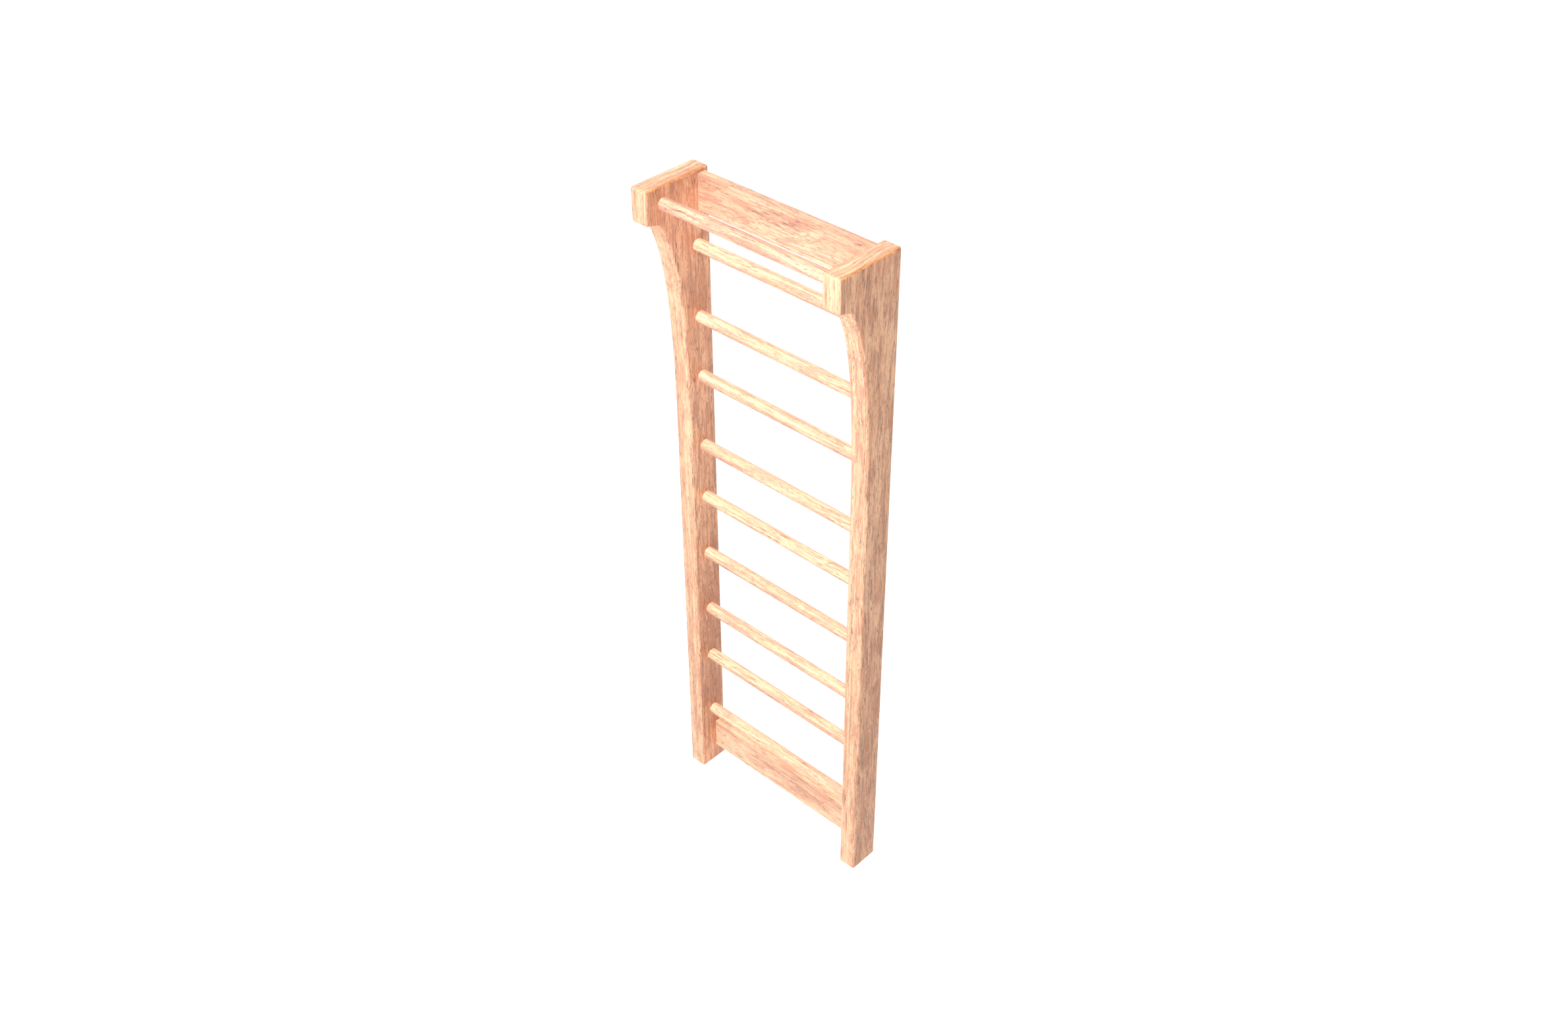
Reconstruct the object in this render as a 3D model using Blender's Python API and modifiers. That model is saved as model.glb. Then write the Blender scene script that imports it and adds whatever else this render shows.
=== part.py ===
"""Wooden wall bars (a stall-bar ladder): two stiles whose heads curve forward into a square horn,
nine round rungs between them, one rung held out in front by the horns, and a board at the top and
at the bottom.  Units are metres, +Z is up, the stiles stand on Z = 0 and the wall is on the +Y side.
The origin is on the floor, at the middle of the object's width and depth."""

import math

import bmesh
import bpy
from mathutils import Matrix, Vector

# ---- driving dimensions -------------------------------------------------------------------------
HEIGHT = 2.102
WIDTH = 0.702                    # over the stiles' outer faces
STILE_THICKNESS = 0.057
STILE_DEPTH = 0.100
HORN_REACH = 0.123               # how far the horn's block stands in front of the stile
HORN_UNDERSIDE = 2.005           # height of the block's underside at its front
HORN_THROAT = 1.992              # and where it meets the curve, as the underside falls to the rear
HORN_THROAT_REACH = 0.079        # how far in front of the stile they meet
CURVE_START = 1.240              # height where the stile's front starts to curve forward
CURVE_START_PULL = 0.310         # the curve's tangent lengths, both along the stile's front face
CURVE_END_AIM = 1.855

RUNG_HEIGHTS = (0.2245, 0.4560, 0.6450, 0.8615, 1.0690, 1.2510, 1.4835, 1.6725, 1.8895)
RUNG_DIAMETER = 0.0355
RUNG_SETBACK = 0.0533            # rung axis behind the stiles' front faces
FORWARD_RUNG_REACH = 0.0630      # forward rung's axis in front of those faces
FORWARD_RUNG_HEIGHT = 2.0510
RUNG_SOCKET_DEPTH = 0.036        # blind socket in the stile's inner face

BOARD_SETBACK = 0.058            # board's front behind the stiles' front faces
BOARD_THICKNESS = 0.028
BOARD_WIDTH = 0.105
TOP_BOARD_BOTTOM = 1.9865
BOTTOM_BOARD_BOTTOM = 0.056

PIN_DIAMETER = 0.006             # hardwood pins that lock the rungs; the forward rung is only glued
PIN_PAST_RUNG = 0.008            # how far a pin runs on beyond its rung
PIN_RECESS = 0.0005              # its end lies this far below the stile's surface
PIN_FROM_INNER_FACE = 0.020
DOWEL_DIAMETER = 0.010           # loose dowels between the boards and the stiles
DOWEL_DEPTH = 0.025              # how far a dowel enters each of the two
DOWEL_FROM_BOARD_EDGE = 0.026

GAP = 0.0003                     # all round every piece that sits in another
STILE_ROUNDING = 0.0085          # all the stiles' outer edges but the foot's
FOOT_ROUNDING = 0.002
BOARD_ROUNDING = 0.0015
RUNG_END_CHAMFER = 0.0015
PIN_END_CHAMFER = 0.0008

RUNG_SEGMENTS = 24
PIN_SEGMENTS = 12
CURVE_RESOLUTION = 14
ROUNDING_SEGMENTS = 3
CUTTER_OVERRUN = 0.010           # how far a cutter starts outside the surface that it enters

# ---- places that follow from them ---------------------------------------------------------------
REAR_Y = (STILE_DEPTH + HORN_REACH) / 2
FRONT_Y = REAR_Y - STILE_DEPTH
RUNG_Y = FRONT_Y + RUNG_SETBACK
FORWARD_RUNG_Y = FRONT_Y - FORWARD_RUNG_REACH
BOARD_Y = FRONT_Y + BOARD_SETBACK + BOARD_THICKNESS / 2
INNER_X = WIDTH / 2 - STILE_THICKNESS
STILE_X = WIDTH / 2 - STILE_THICKNESS / 2
PIN_X = INNER_X + PIN_FROM_INNER_FACE
RUNG_HALF_LENGTH = INNER_X + RUNG_SOCKET_DEPTH - GAP
BOARD_HALF_LENGTH = INNER_X - GAP
SIDES = (("left", -1), ("right", 1))
PLACE_TOLERANCE = 1e-5
SHARP_TURN = math.radians(30)    # edges that turn less are part of a smooth or flat surface


# ---- scene, materials and small helpers ---------------------------------------------------------
def clear_scene():
    for old in list(bpy.data.objects):
        bpy.data.objects.remove(old, do_unlink=True)


def new_collection(name):
    group = bpy.data.collections.new(name)
    bpy.context.scene.collection.children.link(group)
    return group


def wood(name, colour, roughness):
    material = bpy.data.materials.new(name)
    material.use_nodes = True
    shader = material.node_tree.nodes["Principled BSDF"]
    shader.inputs["Base Color"].default_value = (*colour, 1.0)
    shader.inputs["Roughness"].default_value = roughness
    shader.inputs["Metallic"].default_value = 0.0
    return material


def add_object(name, mesh, group, material=None):
    thing = bpy.data.objects.new(name, mesh)
    group.objects.link(thing)
    if material:
        mesh.materials.clear()
        mesh.materials.append(material)
    return thing


def add_cylinder(bm, radius, length, segments, place):
    """A closed cylinder along its own Z, centred on the matrix `place`."""
    bmesh.ops.create_cone(bm, cap_ends=True, segments=segments, radius1=radius, radius2=radius,
                          depth=length, matrix=place)


def along_x(centre):
    return Matrix.Translation(centre) @ Matrix.Rotation(math.pi / 2, 4, "Y")


def along_y(centre):
    return Matrix.Translation(centre) @ Matrix.Rotation(math.pi / 2, 4, "X")


def cylinder_mesh(name, radius, length, segments, chamfer):
    """A round bar along its own Z with chamfered ends, shaded smooth between sharp rims."""
    bm = bmesh.new()
    add_cylinder(bm, radius, length, segments, Matrix())
    rims = [e for e in bm.edges if abs(e.verts[0].co.z - e.verts[1].co.z) < PLACE_TOLERANCE]
    bmesh.ops.bevel(bm, geom=rims, offset=chamfer, segments=1, affect="EDGES", clamp_overlap=True)
    mesh = bpy.data.meshes.new(name)
    bm.to_mesh(mesh)
    bm.free()
    mesh.shade_smooth()
    mesh.set_sharp_from_angle(angle=SHARP_TURN)
    return mesh


def add_cut(thing, cutter):
    cut = thing.modifiers.new("cut_" + cutter.name, "BOOLEAN")
    cut.operation = "DIFFERENCE"
    cut.solver = "EXACT"
    cut.object = cutter


# ---- cutters ------------------------------------------------------------------------------------
def make_cutter(name, group, cylinders):
    """One hidden cutter object out of (radius, length, segments, place) cylinders."""
    bm = bmesh.new()
    for radius, length, segments, place in cylinders:
        add_cylinder(bm, radius, length, segments, place)
    mesh = bpy.data.meshes.new(name)
    bm.to_mesh(mesh)
    bm.free()
    cutter = add_object(name, mesh, group)
    cutter.hide_render = True
    cutter.display_type = "WIRE"
    return cutter


def rung_places():
    """(y, z) of every rung's axis, the forward one last."""
    return [(RUNG_Y, z) for z in RUNG_HEIGHTS] + [(FORWARD_RUNG_Y, FORWARD_RUNG_HEIGHT)]


def rung_sockets():
    """Blind sockets for the rungs, entered from the stiles' inner faces."""
    length = RUNG_SOCKET_DEPTH + CUTTER_OVERRUN
    radius = RUNG_DIAMETER / 2 + GAP
    for _, side in SIDES:
        x = side * (INNER_X + RUNG_SOCKET_DEPTH - length / 2)
        for y, z in rung_places():
            yield radius, length, RUNG_SEGMENTS, along_x(Vector((x, y, z)))


def pin_runs():
    """Every rung pin as (name, start, end): start is the end that shows, in the stile's rear edge."""
    reach = RUNG_DIAMETER / 2 + PIN_PAST_RUNG
    for word, side in SIDES:
        for number, z in enumerate(RUNG_HEIGHTS, start=1):
            start = Vector((side * PIN_X, REAR_Y - PIN_RECESS, z))
            yield f"rung_pin_{number:02d}_{word}", start, Vector((start.x, RUNG_Y - reach, z))


def pin_bores():
    for _, start, end in pin_runs():
        direction = (end - start).normalized()
        mouth = start - direction * CUTTER_OVERRUN
        bottom = end + direction * GAP
        length = (bottom - mouth).length
        yield PIN_DIAMETER / 2 + GAP, length, PIN_SEGMENTS, along_y((mouth + bottom) / 2)


def dowel_places():
    """(name, centre) of every dowel; each crosses the joint between a board and a stile."""
    for board, bottom in (("top", TOP_BOARD_BOTTOM), ("bottom", BOTTOM_BOARD_BOTTOM)):
        heights = (("lower", bottom + DOWEL_FROM_BOARD_EDGE),
                   ("upper", bottom + BOARD_WIDTH - DOWEL_FROM_BOARD_EDGE))
        for word, side in SIDES:
            for level, z in heights:
                yield f"{board}_board_dowel_{word}_{level}", Vector((side * INNER_X, BOARD_Y, z))


def dowel_bores():
    length = 2 * (DOWEL_DEPTH + GAP)
    for _, centre in dowel_places():
        yield DOWEL_DIAMETER / 2 + GAP, length, PIN_SEGMENTS, along_x(centre)


# ---- stiles -------------------------------------------------------------------------------------
def stile_outline():
    """The stile's side view as a flat filled curve: its X is world Y and its Y is world Z."""
    block_front = FRONT_Y - HORN_REACH
    throat = Vector((FRONT_Y - HORN_THROAT_REACH, HORN_THROAT, 0))
    corners = [
        (Vector((REAR_Y, 0, 0)), None, None),
        (Vector((FRONT_Y, 0, 0)), None, None),
        (Vector((FRONT_Y, CURVE_START, 0)), None,
         Vector((FRONT_Y, CURVE_START + CURVE_START_PULL, 0))),
        (throat, Vector((FRONT_Y, CURVE_END_AIM, 0)), None),
        (Vector((block_front, HORN_UNDERSIDE, 0)), None, None),
        (Vector((block_front, HEIGHT, 0)), None, None),
        (Vector((REAR_Y, HEIGHT, 0)), None, None),
    ]
    outline = bpy.data.curves.new("stile_outline", "CURVE")
    outline.dimensions = "2D"
    outline.fill_mode = "BOTH"
    outline.extrude = STILE_THICKNESS / 2
    outline.resolution_u = CURVE_RESOLUTION
    spline = outline.splines.new("BEZIER")
    spline.bezier_points.add(len(corners) - 1)
    spline.use_cyclic_u = True
    for point, (place, handle_before, handle_after) in zip(spline.bezier_points, corners):
        point.co = place
        point.handle_left_type = "FREE" if handle_before else "VECTOR"
        point.handle_right_type = "FREE" if handle_after else "VECTOR"
        if handle_before:
            point.handle_left = handle_before
        if handle_after:
            point.handle_right = handle_after
    return outline


def turns_outward(edge):
    """True for the outline's outer edges, and not for those of its smooth curve and its throat."""
    return edge.is_convex and edge.calc_face_angle(0) > SHARP_TURN


def at_foot(edge):
    return max(v.co.y for v in edge.verts) < PLACE_TOLERANCE


def round_off(bm, edges, radius, segments):
    bmesh.ops.bevel(bm, geom=edges, offset=radius, segments=segments, profile=0.5, affect="EDGES",
                    clamp_overlap=False)


def stile_mesh():
    """The extruded outline as a closed mesh, one polygon a side, with its outer edges rounded."""
    guide = bpy.data.objects.new("stile_outline", stile_outline())
    bpy.context.scene.collection.objects.link(guide)
    bpy.context.view_layer.update()
    evaluated = guide.evaluated_get(bpy.context.evaluated_depsgraph_get())
    mesh = bpy.data.meshes.new_from_object(evaluated)
    bpy.data.objects.remove(guide, do_unlink=True)
    bm = bmesh.new()
    bm.from_mesh(mesh)
    bmesh.ops.remove_doubles(bm, verts=bm.verts, dist=PLACE_TOLERANCE)
    bmesh.ops.recalc_face_normals(bm, faces=bm.faces)
    for outward in (-1, 1):
        side_faces = [f for f in bm.faces if f.normal.z * outward > math.cos(SHARP_TURN)]
        bmesh.ops.dissolve_faces(bm, faces=side_faces, use_verts=False)
    upper = [e for e in bm.edges if turns_outward(e) and not at_foot(e)]
    round_off(bm, upper, STILE_ROUNDING, ROUNDING_SEGMENTS)
    round_off(bm, [e for e in bm.edges if turns_outward(e) and at_foot(e)], FOOT_ROUNDING, 1)
    bm.to_mesh(mesh)
    bm.free()
    mesh.name = "stile"
    mesh.shade_smooth()
    mesh.set_sharp_from_angle(angle=SHARP_TURN)
    return mesh


def make_stile(word, side, mesh, group, material, cutters):
    stile = add_object(f"stile_{word}", mesh, group, material)
    stile.location = (side * STILE_X, 0, 0)
    stile.rotation_euler = (math.pi / 2, 0, math.pi / 2)
    for cutter in cutters:
        add_cut(stile, cutter)


# ---- rungs, boards, pins and dowels -------------------------------------------------------------
def make_rungs(group, material, cutters):
    radius = RUNG_DIAMETER / 2
    mesh = cylinder_mesh("rung", radius, 2 * RUNG_HALF_LENGTH, RUNG_SEGMENTS, RUNG_END_CHAMFER)
    names = [f"rung_{number:02d}" for number in range(1, len(RUNG_HEIGHTS) + 1)] + ["forward_rung"]
    for name, (y, z) in zip(names, rung_places()):
        rung = add_object(name, mesh, group, material)
        rung.matrix_world = along_x(Vector((0, y, z)))
        for cutter in cutters:
            add_cut(rung, cutter)


def make_board(name, bottom, group, material, cutters):
    bm = bmesh.new()
    bmesh.ops.create_cube(bm, size=1.0)
    size = (2 * BOARD_HALF_LENGTH, BOARD_THICKNESS, BOARD_WIDTH)
    bmesh.ops.scale(bm, vec=size, verts=bm.verts)
    mesh = bpy.data.meshes.new(name)
    bm.to_mesh(mesh)
    bm.free()
    board = add_object(name, mesh, group, material)
    board.location = (0, BOARD_Y, bottom + BOARD_WIDTH / 2)
    easing = board.modifiers.new("eased_edges", "BEVEL")
    easing.width = BOARD_ROUNDING
    easing.segments = 2
    for cutter in cutters:
        add_cut(board, cutter)


def make_pins(group, material):
    for name, start, end in pin_runs():
        length = (end - start).length
        mesh = cylinder_mesh(name, PIN_DIAMETER / 2, length, PIN_SEGMENTS, PIN_END_CHAMFER)
        pin = add_object(name, mesh, group, material)
        pin.matrix_world = along_y((start + end) / 2)


def make_dowels(group, material):
    radius = DOWEL_DIAMETER / 2
    mesh = cylinder_mesh("dowel", radius, 2 * DOWEL_DEPTH, PIN_SEGMENTS, PIN_END_CHAMFER)
    for name, centre in dowel_places():
        dowel = add_object(name, mesh, group, material)
        dowel.matrix_world = along_x(centre)


def main():
    clear_scene()
    parts = new_collection("wall_bars")
    tools = new_collection("cutters")
    stile_wood = wood("stile_wood", (0.66, 0.40, 0.25), 0.55)
    rung_wood = wood("rung_wood", (0.80, 0.58, 0.36), 0.45)
    board_wood = wood("board_wood", (0.72, 0.46, 0.30), 0.55)
    pin_wood = wood("pin_wood", (0.56, 0.36, 0.22), 0.60)
    dowel_wood = wood("dowel_wood", (0.60, 0.42, 0.27), 0.60)
    sockets = make_cutter("rung_sockets", tools, rung_sockets())
    bores = make_cutter("pin_bores", tools, pin_bores())
    dowel_holes = make_cutter("dowel_bores", tools, dowel_bores())
    outline_mesh = stile_mesh()
    for word, side in SIDES:
        make_stile(word, side, outline_mesh, parts, stile_wood, (sockets, bores, dowel_holes))
    make_rungs(parts, rung_wood, (bores,))
    make_board("top_board", TOP_BOARD_BOTTOM, parts, board_wood, (dowel_holes,))
    make_board("bottom_board", BOTTOM_BOARD_BOTTOM, parts, board_wood, (dowel_holes,))
    make_pins(parts, pin_wood)
    make_dowels(parts, dowel_wood)


main()
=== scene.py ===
"""Looks for the wooden wall bars: finely rounded stiles, turned rungs, planed boards and their pins,
all in a procedural light hardwood under a satin lacquer, with a pale floor and soft light."""

import math

import bmesh
import bpy
from mathutils import Matrix, Vector
from mathutils.geometry import interpolate_bezier


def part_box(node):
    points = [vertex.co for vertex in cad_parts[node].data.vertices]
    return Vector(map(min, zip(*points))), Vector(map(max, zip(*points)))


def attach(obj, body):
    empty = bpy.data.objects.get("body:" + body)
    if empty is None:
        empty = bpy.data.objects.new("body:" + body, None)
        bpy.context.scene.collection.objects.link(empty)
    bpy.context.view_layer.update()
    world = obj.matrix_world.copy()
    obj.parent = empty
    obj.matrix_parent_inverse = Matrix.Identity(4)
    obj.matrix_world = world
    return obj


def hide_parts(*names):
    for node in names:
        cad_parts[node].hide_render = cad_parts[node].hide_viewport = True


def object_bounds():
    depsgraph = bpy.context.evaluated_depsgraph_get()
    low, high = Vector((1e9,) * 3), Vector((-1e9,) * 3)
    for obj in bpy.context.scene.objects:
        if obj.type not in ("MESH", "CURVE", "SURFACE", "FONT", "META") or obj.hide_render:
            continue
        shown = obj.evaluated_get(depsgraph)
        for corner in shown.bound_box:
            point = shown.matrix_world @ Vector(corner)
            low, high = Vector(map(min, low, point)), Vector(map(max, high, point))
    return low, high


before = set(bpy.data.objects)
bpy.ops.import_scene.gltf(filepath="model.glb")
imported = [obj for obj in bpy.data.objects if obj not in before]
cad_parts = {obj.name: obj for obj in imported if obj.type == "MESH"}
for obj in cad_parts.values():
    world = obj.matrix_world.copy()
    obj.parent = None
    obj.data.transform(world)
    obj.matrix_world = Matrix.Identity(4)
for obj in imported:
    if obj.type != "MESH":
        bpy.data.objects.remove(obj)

CAD_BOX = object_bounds()

# ---- sizes that the frame's boxes don't give, as in the CAD model; metres -----------------------
STILE_DEPTH = 0.100
HORN_UNDERSIDE = 2.005              # height of the block's underside at its front
HORN_THROAT = 1.992                 # and where it meets the curve
HORN_THROAT_REACH = 0.079           # how far in front of the stile they meet
CURVE_START = 1.240                 # height where the stile's front starts to curve forward
CURVE_START_PULL = 0.310            # the curve's tangent lengths, both along the stile's front face
CURVE_END_AIM = 1.855
STILE_ROUNDING = 0.0085
FOOT_ROUNDING = 0.002
GAP = 0.0003                        # round every rung end and pin
CUTTER_OVERRUN = 0.010              # how far a cutter starts outside the surface that it enters

# ---- finer than in the CAD model, or only in the looks ------------------------------------------
BOARD_ROUNDING = 0.0018
RIM_SHARE = 0.15                    # rounding of a bar's rims, as a share of its radius
THIN_BAR_RADIUS = 0.010             # pins and dowels are thinner than this, rungs are thicker
BLOCK_SIDE_LINES = (0.0115, 0.032)      # upright lines on a block's sides, behind its front
BLOCK_LINE_HALF_WIDTH = 0.0009                 # half the width of each thread, with its soft edge

CURVE_POINTS = 49
ROUNDING_SEGMENTS = 6
FOOT_SEGMENTS = 2
BOARD_SEGMENTS = 4
RIM_SEGMENTS = 3
RUNG_SEGMENTS = 64
PIN_SEGMENTS = 32
SHARP_TURN = math.radians(30)       # edges that turn less are part of a smooth or flat surface
PLACE_TOLERANCE = 1e-6

SIDES = ("left", "right")
RUNGS = sorted(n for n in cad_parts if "rung" in n and "pin" not in n)
PINS = sorted(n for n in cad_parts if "_pin_" in n)
DOWELS = sorted(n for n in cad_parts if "_dowel_" in n)

# ---- camera and floor ---------------------------------------------------------------------------
CAMERA_AZIMUTH = math.radians(42.85)
CAMERA_ELEVATION = math.radians(36.955)
CAMERA_PLACE = (2.5617, -2.6827, 4.0054)
CAMERA_LENS = 38.859                # mm, on a sensor 36 mm wide
SENSOR_WIDTH = 36.0
SIGHT_RANGE = 200.0                 # past the floor's far edge
FLOOR_RADIUS = 60.0
FLOOR_SEGMENTS = 96
FLOOR_TONE = 0.68

# ---- lamps --------------------------------------------------------------------------------------
SUN_DISC = math.radians(40)         # wide suns give soft highlights
SUN_DISTANCE = 10.0                 # only for its place in the viewport

# ---- wood tones: light, dark and streak ---------------------------------------------------------
STILE_TONES = (0.85, 0.464, 0.276), (0.70, 0.335, 0.193), (0.48, 0.225, 0.148)
RUNG_TONES = (0.82, 0.495, 0.300), (0.72, 0.370, 0.238), (0.55, 0.270, 0.192)
FORWARD_RUNG_TONES = (0.78, 0.425, 0.275), (0.67, 0.320, 0.212), (0.49, 0.235, 0.168)
BOARD_TONES = (0.79, 0.435, 0.275), (0.68, 0.340, 0.212), (0.46, 0.226, 0.155)
PIN_TONES = (0.56, 0.33, 0.20), (0.45, 0.25, 0.15), (0.34, 0.19, 0.12)
PALE_TINT = (1.08, 1.18, 1.20)      # palest layers, times the light tone
DEEP_TINT = (0.82, 0.74, 0.71)      # deepest layers, times the dark tone
PORE_TINT = (0.55, 0.55, 0.55)      # pores, times the streak tone
PAINTED_WARM_LIGHT_TINT = (1.0, 0.86, 0.68)      # painted warm light on the roundings between the stiles' tops and sides
STREAK_MM = 120
BOARD_STREAK_MM = 220


# ---- shared helpers -----------------------------------------------------------------------------
def add_object(name, data):
    thing = bpy.data.objects.new(name, data)
    bpy.context.scene.collection.objects.link(thing)
    return thing


def finished_mesh(bm, name):
    """The bmesh as a mesh; the bmesh is freed."""
    mesh = bpy.data.meshes.new(name)
    bm.to_mesh(mesh)
    bm.free()
    return mesh


def round_off(bm, edges, radius, segments, clamp):
    bmesh.ops.bevel(bm, geom=edges, offset=radius, segments=segments, profile=0.5,
                    affect="EDGES", clamp_overlap=clamp)


# ---- camera, light and floor --------------------------------------------------------------------
def direction_from(azimuth, elevation):
    """Unit vector towards a viewer or lamp; azimuth 0 stands in front of the object, at -Y."""
    level = math.cos(elevation)
    return Vector((math.sin(azimuth) * level, -math.cos(azimuth) * level, math.sin(elevation)))


def make_camera():
    camera = add_object("camera", bpy.data.cameras.new("camera"))
    camera.data.sensor_width = SENSOR_WIDTH
    camera.data.lens = CAMERA_LENS
    camera.data.clip_end = SIGHT_RANGE
    back = direction_from(CAMERA_AZIMUTH, CAMERA_ELEVATION)
    camera.location = CAMERA_PLACE
    camera.rotation_mode = "QUATERNION"
    camera.rotation_quaternion = (-back).to_track_quat("-Z", "Y")
    bpy.context.scene.camera = camera


def aim_lamp(lamp, place, target):
    """Puts a lamp that throws no shadows at place, turned to target."""
    lamp.use_shadow = False
    holder = add_object(lamp.name, lamp)
    holder.location = place
    holder.rotation_euler = (Vector(place) - Vector(target)).to_track_quat("Z", "Y").to_euler()
    holder.visible_camera = False


def make_sun(name, azimuth, elevation, light_on_face, colour):
    """light_on_face is how bright a white face that is turned to the lamp shows."""
    lamp = bpy.data.lights.new(name, "SUN")
    lamp.angle = SUN_DISC
    lamp.energy = light_on_face * math.pi
    lamp.color = colour
    towards = direction_from(math.radians(azimuth), math.radians(elevation))
    aim_lamp(lamp, towards * SUN_DISTANCE, (0, 0, 0))


def make_softbox(name, place, target, size, light_on_face, colour):
    """A square lamp; light_on_face holds at the target."""
    lamp = bpy.data.lights.new(name, "AREA")
    lamp.shape = "SQUARE"
    lamp.size = size
    lamp.color = colour
    lamp.energy = light_on_face * (math.pi * (Vector(place) - Vector(target)).length) ** 2
    aim_lamp(lamp, place, target)


def make_world(light, seen):
    """An even grey room for the light, and a white backdrop where the camera looks past the floor."""
    world = bpy.data.worlds.new("room")
    bpy.context.scene.world = world
    world.use_nodes = True
    tree = world.node_tree
    background = tree.nodes["Background"]
    path = tree.nodes.new("ShaderNodeLightPath")
    strength = tree.nodes.new("ShaderNodeMapRange")
    strength.inputs["To Min"].default_value = light
    strength.inputs["To Max"].default_value = seen
    tree.links.new(path.outputs["Is Camera Ray"], strength.inputs["Value"])
    tree.links.new(strength.outputs["Result"], background.inputs["Strength"])
    background.inputs["Color"].default_value = (1, 1, 1, 1)


def make_floor():
    bm = bmesh.new()
    bmesh.ops.create_circle(bm, cap_ends=True, segments=FLOOR_SEGMENTS, radius=FLOOR_RADIUS)
    mesh = finished_mesh(bm, "floor")
    floor = add_object("floor", mesh)
    material = bpy.data.materials.new("pale_floor")
    material.use_nodes = True
    shader = material.node_tree.nodes["Principled BSDF"]
    shader.inputs["Base Color"].default_value = (FLOOR_TONE, FLOOR_TONE, FLOOR_TONE, 1)
    shader.inputs["Roughness"].default_value = 0.9
    shader.inputs["Specular IOR Level"].default_value = 0.2
    mesh.materials.append(material)


def make_studio():
    make_camera()
    make_world(light=0.06, seen=1.0)
    make_sun("top_light", azimuth=0, elevation=72, light_on_face=1.50, colour=(0.96, 0.97, 0.94))
    make_sun("front_light", azimuth=0, elevation=8, light_on_face=0.40, colour=(0.76, 0.91, 1.0))
    make_sun("rear_light", azimuth=-145, elevation=15, light_on_face=0.30, colour=(1.0, 0.97, 0.94))
    make_softbox("near_light", place=(0.33, -1.5, 2.3), target=(0, 0, 1.7), size=0.6,
                 light_on_face=0.80, colour=(0.90, 0.91, 1.0))
    make_softbox("side_light", place=(3.0, -0.5, 3.4), target=(0, 0, 1.8), size=1.2,
                 light_on_face=0.16, colour=(1.0, 0.94, 0.92))
    make_floor()
    bpy.context.scene.view_settings.view_transform = "Standard"


# ---- wood ---------------------------------------------------------------------------------------
def tinted(tone, tint):
    return tuple(c * k for c, k in zip(tone, tint))


class WoodNodes:
    """Small helpers to lay out one wood material's nodes."""

    def __init__(self, name):
        self.material = bpy.data.materials.new(name)
        self.material.use_nodes = True
        self.tree = self.material.node_tree
        self.shader = self.tree.nodes["Principled BSDF"]

    def add(self, kind, **settings):
        node = self.tree.nodes.new(kind)
        for key, value in settings.items():
            setattr(node, key, value)
        return node

    def link(self, source, target):
        self.tree.links.new(source, target)

    def fill(self, sockets, values):
        """Sets or links one value for each socket; sockets without a value keep their own."""
        for socket, value in zip(sockets, values):
            if isinstance(value, (int, float, tuple)):
                socket.default_value = value
            else:
                self.link(value, socket)

    def math(self, operation, *values):
        node = self.add("ShaderNodeMath", operation=operation)
        self.fill(node.inputs, values)
        return node.outputs[0]

    def vector(self, operation, *values):
        node = self.add("ShaderNodeVectorMath", operation=operation)
        self.fill(node.inputs, values)
        return node.outputs[0]

    def join(self, *values):
        node = self.add("ShaderNodeCombineXYZ")
        self.fill(node.inputs, values)
        return node.outputs[0]

    def split(self, vector):
        """The outputs X, Y and Z of a vector."""
        node = self.add("ShaderNodeSeparateXYZ")
        self.link(vector, node.inputs[0])
        return node.outputs

    def object_place(self):
        return self.split(self.add("ShaderNodeTexCoord").outputs["Object"])

    def surface_normal(self):
        return self.split(self.add("ShaderNodeNewGeometry").outputs["Normal"])

    def noise(self, place, size_mm, detail=2.0, rough=0.5, swirl=0.0, shift=0.0):
        """Noise whose blobs are size_mm = (through the layers, across, along the grain)."""
        scale = tuple(1000.0 / s for s in size_mm)
        scaled = self.vector("MULTIPLY", place, scale)
        moved = self.vector("ADD", scaled, (shift, shift * 0.7, shift * 1.3))
        node = self.add("ShaderNodeTexNoise")
        node.inputs["Scale"].default_value = 1.0
        node.inputs["Detail"].default_value = detail
        node.inputs["Roughness"].default_value = rough
        node.inputs["Distortion"].default_value = swirl
        self.link(moved, node.inputs["Vector"])
        return node.outputs[0]

    def step(self, value, low, high, top=1.0):
        """0 at low, rising smoothly to top at high; low may be above high, and then it falls."""
        node = self.add("ShaderNodeMapRange", interpolation_type="SMOOTHSTEP")
        node.inputs["From Min"].default_value = low
        node.inputs["From Max"].default_value = high
        node.inputs["To Max"].default_value = top
        self.link(value, node.inputs["Value"])
        return node.outputs[0]

    def blend_tones(self, share, under, over, blend_type="MIX"):
        """under, with a share of over on it; each is a tone or a node's output."""
        tones = [(*tone, 1.0) if isinstance(tone, tuple) else tone for tone in (under, over)]
        return self.mix(share, *tones, data_type="RGBA", blend_type=blend_type)

    def mix(self, share, under, over, **settings):
        node = self.add("ShaderNodeMix", **settings)
        self.fill([s for s in node.inputs if s.enabled], (share, under, over))
        return next(s for s in node.outputs if s.enabled)


def wood_place(w, order):
    """Object coordinates in metres, reordered to (through the layers, across, along the grain)."""
    place = w.object_place()
    return w.join(*(place[axis] for axis in order))


def bent_grain(w, place):
    """The place, led a few millimetres aside by wide, slow noise, so that no grain is straight."""
    wander = w.noise(place, (90, 120, 420))
    sway = w.noise(place, (70, 45, 190), shift=41.0)
    drift = w.join(w.math("MULTIPLY", w.math("SUBTRACT", wander, 0.5), 0.030),
                   w.math("MULTIPLY", w.math("SUBTRACT", sway, 0.5), 0.016))
    return w.vector("ADD", place, drift)


def turned_on_end_faces(w, place):
    """On faces that look up or down the fibres run front to back, as the layers' edges show there."""
    on_end = w.step(w.math("ABSOLUTE", w.surface_normal()["Z"]), 0.75, 0.95)
    parts = w.split(place)
    return w.mix(on_end, place, w.join(parts["X"], parts["Z"], parts["Y"]), data_type="VECTOR")


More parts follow.
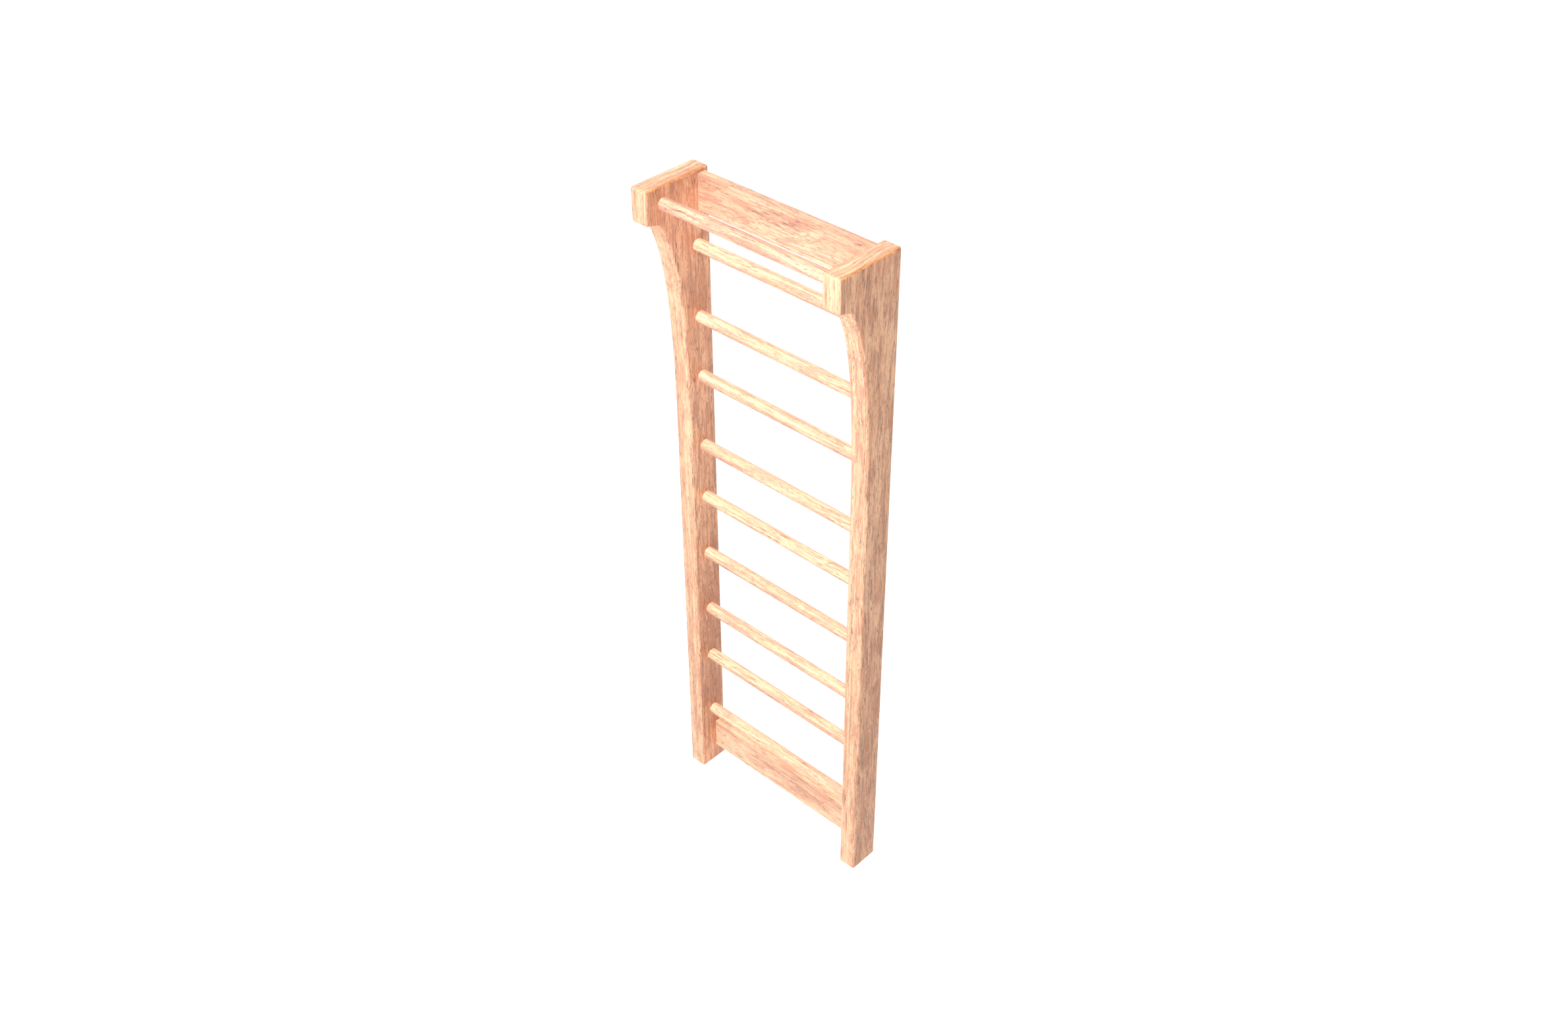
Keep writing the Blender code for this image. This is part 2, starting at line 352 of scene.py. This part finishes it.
def painted_warm_light_on_edges(w):
    """Share of a warmer tone, painted warm light, on the roundings between the tops and the sides of
    the stiles.
    """
    normal = w.surface_normal()
    across = w.math("ABSOLUTE", normal["X"])
    return w.step(w.math("MULTIPLY", across, normal["Z"]), 0.05, 0.35)


def draw_block_side_lines(w, tone, pale, dark):
    """Two upright lines on the sides of each horn's block: a pale thread beside a dark one."""
    place = w.object_place()
    on_side = w.step(w.math("ABSOLUTE", w.surface_normal()["X"]), 0.80, 0.95)
    in_block = w.step(place["Z"], HORN_THROAT, HORN_THROAT + 0.004)
    shown = w.math("MULTIPLY", on_side, in_block)
    for behind_front in BLOCK_SIDE_LINES:
        for shift, colour in ((-BLOCK_LINE_HALF_WIDTH, dark), (0.0, pale)):
            centre = CAD_BOX[0][1] + behind_front + shift
            off_line = w.math("ABSOLUTE", w.math("SUBTRACT", place["Y"], centre))
            line = w.step(off_line, BLOCK_LINE_HALF_WIDTH, BLOCK_LINE_HALF_WIDTH * 0.3, 0.9)
            tone = w.blend_tones(w.math("MULTIPLY", line, shown), tone, colour)
    return tone


def make_lacquer(w, fibres, dash):
    """A thin satin coat over the wood, which follows its fibres and sinks at its dashes."""
    w.link(w.math("MULTIPLY_ADD", fibres, 0.24, 0.36), w.shader.inputs["Roughness"])
    bump = w.add("ShaderNodeBump")
    bump.inputs["Strength"].default_value = 0.35
    bump.inputs["Distance"].default_value = 0.0004
    w.link(w.math("SUBTRACT", fibres, dash), bump.inputs["Height"])
    w.link(bump.outputs[0], w.shader.inputs["Normal"])
    w.shader.inputs["IOR"].default_value = 1.40
    w.shader.inputs["Coat Weight"].default_value = 0.05
    w.shader.inputs["Coat Roughness"].default_value = 0.35


def make_wood(name, order, tones, streak_mm=STREAK_MM, for_stile=False):
    """Light hardwood in thin layers: mottled tone, growth lines, grey-brown streaks and pores."""
    light, dark, streak = tones
    pale = tinted(light, PALE_TINT)
    deep = tinted(dark, DEEP_TINT)
    pore = tinted(streak, PORE_TINT)

    w = WoodNodes(name)
    bent = bent_grain(w, wood_place(w, order))
    place = turned_on_end_faces(w, bent) if for_stile else bent
    mottle = w.noise(place, (24, 15, 90), detail=3.0, rough=0.6, shift=3.0)
    layers = w.noise(bent, (5, 120, 900), detail=3.0, rough=0.75, shift=7.0)
    bands = w.noise(place, (8, 8, streak_mm), detail=3.0, rough=0.6, shift=11.0)
    fibres = w.noise(place, (2.2, 2.2, 70), rough=0.6, shift=17.0)
    dashes = w.noise(place, (3.6, 4.4, 48), rough=0.55, swirl=0.5, shift=23.0)
    patches = w.noise(place, (30, 24, 130), detail=1.0, shift=29.0)
    flecks = w.noise(place, (1.6, 2.2, 17), detail=1.0, shift=31.0)

    # Each line lays a tone over the last one, between two values of its noise and up to a share.
    tone = w.blend_tones(w.step(mottle, 0.38, 0.60), dark, light)
    tone = w.blend_tones(w.step(layers, 0.51, 0.60, 0.85), tone, pale)
    tone = w.blend_tones(w.step(layers, 0.48, 0.38, 0.85), tone, deep)
    tone = w.blend_tones(w.step(bands, 0.49, 0.61, 0.75), tone, streak)
    tone = w.blend_tones(w.step(fibres, 0.50, 0.68, 0.50), tone, streak)
    tone = w.blend_tones(w.step(fibres, 0.46, 0.32, 0.45), tone, pale)
    dash = w.math("MULTIPLY", w.step(dashes, 0.57, 0.68, 0.90), w.step(patches, 0.42, 0.58))
    tone = w.blend_tones(dash, tone, pore)
    tone = w.blend_tones(w.step(flecks, 0.58, 0.68, 0.70), tone, pore)
    if for_stile:
        # painted warm light on the roundings between the stiles' tops and sides, picked by the
        # surface's normal
        tone = w.blend_tones(painted_warm_light_on_edges(w), tone, PAINTED_WARM_LIGHT_TINT, blend_type="MULTIPLY")
        # two upright lines on each block's sides, a pale thread beside a dark one
        tone = draw_block_side_lines(w, tone, pale, pore)
    w.link(tone, w.shader.inputs["Base Color"])
    make_lacquer(w, fibres, dash)
    return w.material


# ---- pieces -------------------------------------------------------------------------------------
def finish_piece(piece, material, node):
    """Gives a piece its wood, lets it ride with the frame and stand for its CAD node."""
    piece.data.materials.clear()
    piece.data.materials.append(material)
    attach(piece, "root")
    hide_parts(node)


def shade(piece):
    """Smooth roundings, sharp corners and flat faces."""
    piece.data.shade_smooth()
    piece.data.set_sharp_from_angle(angle=SHARP_TURN)
    normals = piece.modifiers.new("flat_faces", "WEIGHTED_NORMAL")
    normals.keep_sharp = True


# ---- rungs, pins and dowels ---------------------------------------------------------------------
def add_cylinder(bm, radius, length, segments, place):
    bmesh.ops.create_cone(bm, cap_ends=True, segments=segments, radius1=radius, radius2=radius,
                          depth=length, matrix=place)


def lying_at(centre, axis):
    """Where a cylinder made along Z goes to lie along X (axis 0) or Y (axis 1)."""
    return Matrix.Translation(centre) @ Matrix.Rotation(math.pi / 2, 4, "YX"[axis])


def bar_mesh(name, node):
    """A finely turned bar with rounded rims that fills a CAD node's box."""
    low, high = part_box(node)
    size = high - low
    axis = max(range(3), key=lambda i: size[i])
    radius = min(size) / 2
    segments = RUNG_SEGMENTS if radius > THIN_BAR_RADIUS else PIN_SEGMENTS
    bm = bmesh.new()
    add_cylinder(bm, radius, size[axis], segments, Matrix())
    rims = [e for e in bm.edges if abs(e.verts[0].co.z - e.verts[1].co.z) < PLACE_TOLERANCE]
    round_off(bm, rims, radius * RIM_SHARE, RIM_SEGMENTS, clamp=True)
    bmesh.ops.transform(bm, matrix=lying_at((low + high) / 2, axis), verts=bm.verts)
    return finished_mesh(bm, name)


def make_bar(name, node, material):
    bar = add_object(name, bar_mesh(name, node))
    shade(bar)
    finish_piece(bar, material, node)


# ---- stiles -------------------------------------------------------------------------------------
def stile_outline(low, high):
    """(y, z) round the stile's side view, from the rear foot forwards and up."""
    front = high.y - STILE_DEPTH
    curve = interpolate_bezier(
        Vector((front, CURVE_START)),
        Vector((front, CURVE_START + CURVE_START_PULL)),
        Vector((front, CURVE_END_AIM)),
        Vector((front - HORN_THROAT_REACH, HORN_THROAT)),
        CURVE_POINTS,
    )
    return [Vector((high.y, low.z)), Vector((front, low.z)), *curve, Vector((low.y, HORN_UNDERSIDE)),
            Vector((low.y, high.z)), Vector((high.y, high.z))]


def turns_outward(edge):
    return edge.is_convex and edge.calc_face_angle(0) > SHARP_TURN


def at_foot(edge):
    return max(v.co.z for v in edge.verts) < PLACE_TOLERANCE


def stile_blank(low, high):
    """The stile before its sockets are bored: the outline, as thick as the stile, edges rounded."""
    bm = bmesh.new()
    face = bm.faces.new([bm.verts.new((low.x, y, z)) for y, z in stile_outline(low, high)])
    grown = bmesh.ops.extrude_face_region(bm, geom=[face])
    moved = [v for v in grown["geom"] if isinstance(v, bmesh.types.BMVert)]
    bmesh.ops.translate(bm, vec=(high.x - low.x, 0, 0), verts=moved)
    bmesh.ops.recalc_face_normals(bm, faces=bm.faces)
    upper = [e for e in bm.edges if turns_outward(e) and not at_foot(e)]
    round_off(bm, upper, STILE_ROUNDING, ROUNDING_SEGMENTS, clamp=False)
    foot = [e for e in bm.edges if at_foot(e)]
    round_off(bm, foot, FOOT_ROUNDING, FOOT_SEGMENTS, clamp=False)
    return finished_mesh(bm, "stile")


def socket_cutter(side, low, high):
    """The rung sockets of one stile, entered from its inner face."""
    bm = bmesh.new()
    for name in RUNGS:
        a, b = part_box(name)
        if side == "left":
            end, mouth = a.x - GAP, high.x + CUTTER_OVERRUN
        else:
            end, mouth = b.x + GAP, low.x - CUTTER_OVERRUN
        centre = Vector(((end + mouth) / 2, (a.y + b.y) / 2, (a.z + b.z) / 2))
        radius = (b.z - a.z) / 2 + GAP
        add_cylinder(bm, radius, abs(end - mouth), RUNG_SEGMENTS, lying_at(centre, 0))
    return add_object(f"sockets_{side}", finished_mesh(bm, "sockets"))


def pin_cutter(side):
    """The pin bores of one stile, entered from its rear edge."""
    bm = bmesh.new()
    for name in (n for n in PINS if n.endswith(side)):
        a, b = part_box(name)
        bottom, mouth = a.y - GAP, b.y + GAP + CUTTER_OVERRUN
        centre = (a + b) / 2
        centre.y = (bottom + mouth) / 2
        radius = min(b - a) / 2 + GAP
        add_cylinder(bm, radius, mouth - bottom, PIN_SEGMENTS, lying_at(centre, 1))
    return add_object(f"pin_bores_{side}", finished_mesh(bm, "pin_bores"))


def bore(blank, cutters):
    """Cuts the cutters out of the blank for good, and removes them."""
    for cutter in cutters:
        cut = blank.modifiers.new(cutter.name, "BOOLEAN")
        cut.operation = "DIFFERENCE"
        cut.solver = "EXACT"
        cut.object = cutter
    bpy.context.view_layer.update()
    evaluated = blank.evaluated_get(bpy.context.evaluated_depsgraph_get())
    bored = bpy.data.meshes.new_from_object(evaluated)
    blank.modifiers.clear()
    blank.data = bored
    for cutter in cutters:
        bpy.data.objects.remove(cutter, do_unlink=True)


def make_stile(side, material):
    low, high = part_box(f"stile_{side}")
    stile = add_object(f"{side}_stile", stile_blank(low, high))
    bore(stile, [socket_cutter(side, low, high), pin_cutter(side)])
    shade(stile)
    finish_piece(stile, material, f"stile_{side}")


# ---- boards -------------------------------------------------------------------------------------
def make_board(name, node, material):
    low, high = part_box(node)
    bm = bmesh.new()
    bmesh.ops.create_cube(bm, size=1.0)
    bmesh.ops.scale(bm, vec=high - low, verts=bm.verts)
    bmesh.ops.translate(bm, vec=(low + high) / 2, verts=bm.verts)
    round_off(bm, bm.edges[:], BOARD_ROUNDING, BOARD_SEGMENTS, clamp=True)
    board = add_object(name, finished_mesh(bm, name))
    shade(board)
    finish_piece(board, material, node)


def main():
    make_studio()
    stile_wood = make_wood("stile_beech", "XYZ", STILE_TONES, for_stile=True)
    rung_wood = make_wood("rung_beech", "YZX", RUNG_TONES)
    forward_wood = make_wood("forward_rung_beech", "YZX", FORWARD_RUNG_TONES)
    board_wood = make_wood("board_beech", "YZX", BOARD_TONES, streak_mm=BOARD_STREAK_MM)
    pin_wood = make_wood("pin_beech", "XZY", PIN_TONES)
    for side in SIDES:
        make_stile(side, stile_wood)
    for name in RUNGS:
        wood = forward_wood if name == "forward_rung" else rung_wood
        make_bar(f"turned_{name}", name, wood)
    make_board("upper_board", "top_board", board_wood)
    make_board("lower_board", "bottom_board", board_wood)
    for name in PINS:
        make_bar(f"fine_{name}", name, pin_wood)
    for name in DOWELS:
        make_bar(f"fine_{name}", name, pin_wood)


main()
